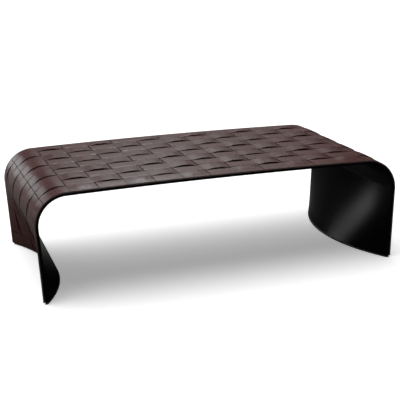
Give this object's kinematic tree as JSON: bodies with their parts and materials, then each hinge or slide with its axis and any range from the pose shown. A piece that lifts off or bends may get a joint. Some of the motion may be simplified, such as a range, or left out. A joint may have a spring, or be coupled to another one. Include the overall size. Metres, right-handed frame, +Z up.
{
  "type": "coffee table",
  "caption": "Low table: a thin bent shell with rounded ends and panel legs that curve in at the floor, black inside, its outside covered by a plain weave of broad leather straps.",
  "frame": {"origin": "on the floor, under the middle of the top", "axes": "+X along the table, -Y towards its front, +Z up"},
  "size_m": [1.3, 0.69, 0.38],
  "materials": {
    "shell": "black satin lacquer",
    "foot_strip": "matt black",
    "long_strap": "dark brown, satin, fine grain",
    "cross_strap": "dark brown, satin, fine grain"
  },
  "bodies": {
    "root": {"shell": "shell", "foot_strip_left": "foot_strip", "foot_strip_right": "foot_strip", "long_strap_1": "long_strap", "long_strap_2": "long_strap", "long_strap_3": "long_strap", "long_strap_4": "long_strap", "long_strap_5": "long_strap", "long_strap_6": "long_strap", "long_strap_7": "long_strap", "long_strap_8": "long_strap", "long_strap_9": "long_strap", "cross_strap_1": "cross_strap", "cross_strap_2": "cross_strap", "cross_strap_3": "cross_strap", "cross_strap_4": "cross_strap", "cross_strap_5": "cross_strap", "cross_strap_6": "cross_strap", "cross_strap_7": "cross_strap", "cross_strap_8": "cross_strap", "cross_strap_9": "cross_strap", "cross_strap_10": "cross_strap", "cross_strap_11": "cross_strap", "cross_strap_12": "cross_strap", "cross_strap_13": "cross_strap", "cross_strap_14": "cross_strap", "cross_strap_15": "cross_strap", "cross_strap_16": "cross_strap", "cross_strap_17": "cross_strap", "cross_strap_18": "cross_strap", "cross_strap_19": "cross_strap", "cross_strap_20": "cross_strap", "cross_strap_21": "cross_strap"}
  },
  "joints": []
}
